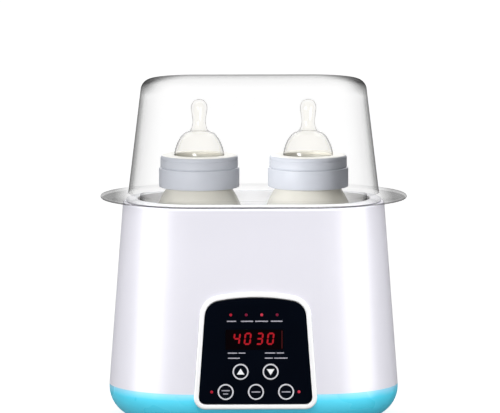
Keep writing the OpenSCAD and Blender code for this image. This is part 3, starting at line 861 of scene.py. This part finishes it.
def add_light(name, place, target, size, power, only, shadow=True, seen_in=("diffuse", "glossy")):
    """A soft rectangular light that lights only some pieces, through one or both kinds of ray."""
    data = bpy.data.lights.new(name, "AREA")
    data.shape = "RECTANGLE"
    data.size, data.size_y = size
    data.energy = power
    data.use_shadow = shadow
    lamp = bpy.data.objects.new(name, data)
    lamp.location = place
    lamp.rotation_mode = "QUATERNION"
    lamp.rotation_quaternion = (Vector(target) - Vector(place)).to_track_quat("-Z", "Y")
    lamp.visible_diffuse = "diffuse" in seen_in
    lamp.visible_glossy = "glossy" in seen_in
    bpy.context.scene.collection.objects.link(lamp)
    lit = bpy.data.collections.new(name + "_lights")
    for piece in only:
        lit.objects.link(piece)
    lamp.light_linking.receiver_collection = lit


def add_world():
    """A studio bright in front and above, dim at the sides and behind, and white to the camera."""
    world = bpy.data.worlds.new("studio")
    world.use_nodes = True
    tree = world.node_tree
    tree.nodes.clear()

    def node(kind, **links):
        made = tree.nodes.new("ShaderNode" + kind)
        for name, value in links.items():
            socket = made.inputs[name.replace("_", " ")]
            if isinstance(value, bpy.types.NodeSocket):
                tree.links.new(value, socket)
            else:
                socket.default_value = value
        return made

    def calculate(operation, first, second=0.0):
        made = tree.nodes.new("ShaderNodeMath")
        made.operation = operation
        for socket, value in zip(made.inputs, (first, second)):
            if isinstance(value, bpy.types.NodeSocket):
                tree.links.new(value, socket)
            else:
                socket.default_value = value
        return made.outputs[0]

    def ease(value, low, high, new_low, new_high):
        made = node("MapRange", Value=value, From_Min=low, From_Max=high, To_Min=new_low, To_Max=new_high)
        made.interpolation_type = "SMOOTHSTEP"
        return made.outputs["Result"]

    def blend(share, first, second):
        return calculate("ADD", calculate("MULTIPLY", share, second),
                         calculate("MULTIPLY", calculate("SUBTRACT", 1.0, share), first))

    direction = node("SeparateXYZ", Vector=node("TexCoord").outputs["Generated"])
    x, y, z = (direction.outputs[axis] for axis in "XYZ")
    level = calculate("SQRT", calculate("ADD", calculate("MULTIPLY", x, x), calculate("MULTIPLY", y, y)))
    ahead = calculate("DIVIDE", calculate("MULTIPLY", y, -1.0), calculate("MAXIMUM", level, 0.001))
    side = ease(x, -0.6, 0.6, LEFT_LIGHT, RIGHT_LIGHT)
    around = blend(ease(ahead, 0.05, 0.6, 0.0, 1.0), side, FRONT_LIGHT)
    around = calculate("MULTIPLY", around, ease(z, -0.5, 0.0, BELOW_SHARE, 1.0))
    card = calculate("MULTIPLY", ease(ahead, 0.9, 0.975, 0.0, 1.0), ease(z, 0.1, 0.4, 1.0, 0.0))
    around = blend(card, around, CARD_LIGHT)
    strength = blend(ease(z, 0.45, 0.85, 0.0, 1.0), around, TOP_LIGHT)
    seen = node("LightPath").outputs["Is Camera Ray"]
    strength = blend(seen, strength, 1.0)
    background = node("Background", Color=(1.0, 1.0, 1.0, 1.0), Strength=strength)
    output = tree.nodes.new("ShaderNodeOutputWorld")
    tree.links.new(background.outputs[0], output.inputs["Surface"])
    bpy.context.scene.world = world


FRONT_LIGHT, LEFT_LIGHT, RIGHT_LIGHT, TOP_LIGHT = 0.35, 0.2, 0.06, 0.75
CARD_LIGHT, BELOW_SHARE = 0.15, 1.2


def named(*starts):
    """The mesh pieces whose names start with one of these words."""
    return [piece for piece in bpy.data.objects if piece.type == "MESH" and piece.name.startswith(starts)]


left_bottle = named("bottle_left", "screw_ring_left", "teat_left", "milk_left")
right_bottle = named("bottle_right", "screw_ring_right", "teat_right", "milk_right")
tank = named("inner_tank", "bottle_rack")
covers = [piece for piece in named("") if piece not in left_bottle + right_bottle + named("clear_lid")]
body_middle, bottle_middle = (0, 0, 0.12), (0, 0, 0.2)

add_camera()
add_floor()
add_world()
DIFFUSE, GLOSSY = ("diffuse",), ("glossy",)
base = named("base_shell")
behind = [piece for piece in covers if piece not in tank] + left_bottle + right_bottle
add_light("front_fill", (0, -1.0, 1.3), body_middle, (1.0, 0.8), 22, covers, seen_in=DIFFUSE)
add_light("front_low", (0, -1.6, 0.03), (0, 0, 0.02), (1.6, 0.2), 6, base, seen_in=DIFFUSE)
# Stands in for light from the white floor, so the floor doesn't shade it
add_light("front_under", (0, -1.0, -0.6), (0, 0, 0.02), (1.6, 0.4), 2, base, shadow=False, seen_in=DIFFUSE)
for side, sign in (("left", -1), ("right", 1)):
    add_light("gloss_" + side, (1.11 * sign, -0.45, 0.35), body_middle, (1.0, 1.4), 15, covers,
              seen_in=GLOSSY)
    add_light("fill_" + side, (1.18 * sign, -0.21, 0.4), body_middle, (0.6, 1.0), 7.2, covers,
              seen_in=DIFFUSE)
add_light("key_left", (-0.63, -1.36, 0.35), bottle_middle, (0.4, 0.4), 17, left_bottle)
add_light("key_right", (-1.06, -1.06, 0.35), bottle_middle, (0.4, 0.4), 30, right_bottle)
add_light("back_fill", (0, 1.4, 0.9), body_middle, (1.6, 1.2), 26, behind)
for side in (-1, 1):
    add_light("tank_fill", (0.5 * side, -0.4, 0.7), bottle_middle, (0.4, 0.4), 2.0, tank, shadow=False)

settings = bpy.context.scene.view_settings
settings.view_transform = "Standard"
settings.look = "None"
bpy.context.scene.cycles.max_bounces = 24
bpy.context.scene.cycles.transparent_max_bounces = 32
